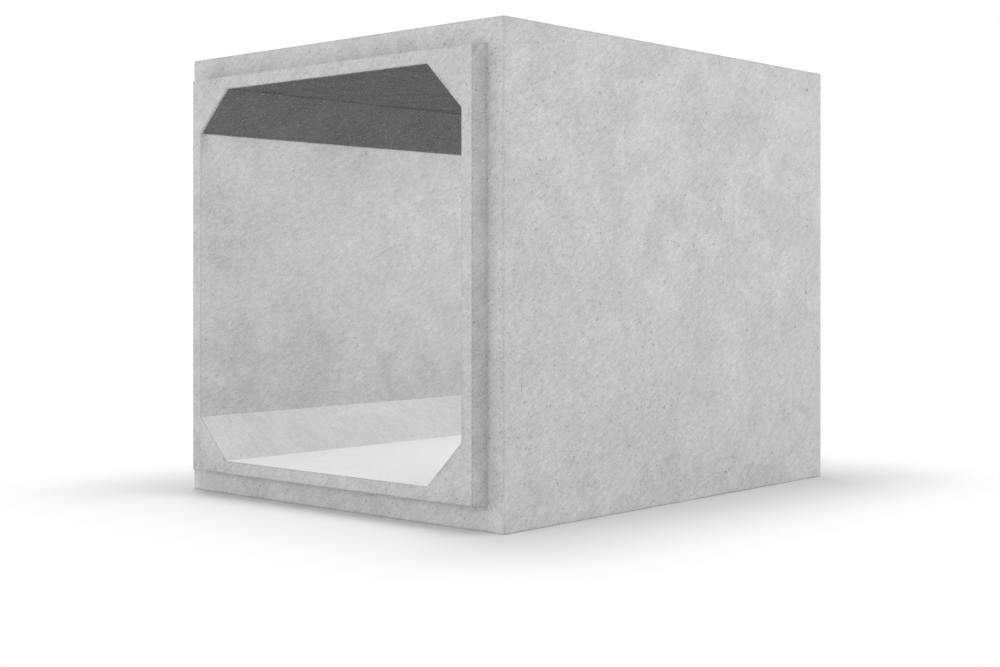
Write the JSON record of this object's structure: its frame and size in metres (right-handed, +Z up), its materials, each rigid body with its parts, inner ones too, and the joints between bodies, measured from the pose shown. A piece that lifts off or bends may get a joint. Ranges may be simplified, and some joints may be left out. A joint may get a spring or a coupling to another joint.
{
  "type": "precast concrete box culvert unit",
  "caption": "Precast concrete box culvert unit: square barrel with splayed inside corners, tapered tongue on one end, groove on the other, lifting anchors in the top slab.",
  "frame": {"origin": "middle of the underside of the unit's overall box, on the ground", "axes": "+Z up; the barrel runs along Y, with the tongue end at -Y and the groove end at +Y; +X to the right when looking into the tongue end"},
  "size_m": [2.37, 2.979, 2.44],
  "materials": {
    "concrete": "plain grey precast concrete, smooth from the mould, cloudy, with small air holes",
    "anchor_steel": "plain forged steel, dull grey"
  },
  "bodies": {
    "root": {"culvert_body": "concrete", "lifting_anchor_tongue_left": "anchor_steel", "lifting_anchor_tongue_right": "anchor_steel", "lifting_anchor_groove_left": "anchor_steel", "lifting_anchor_groove_right": "anchor_steel"}
  },
  "joints": []
}
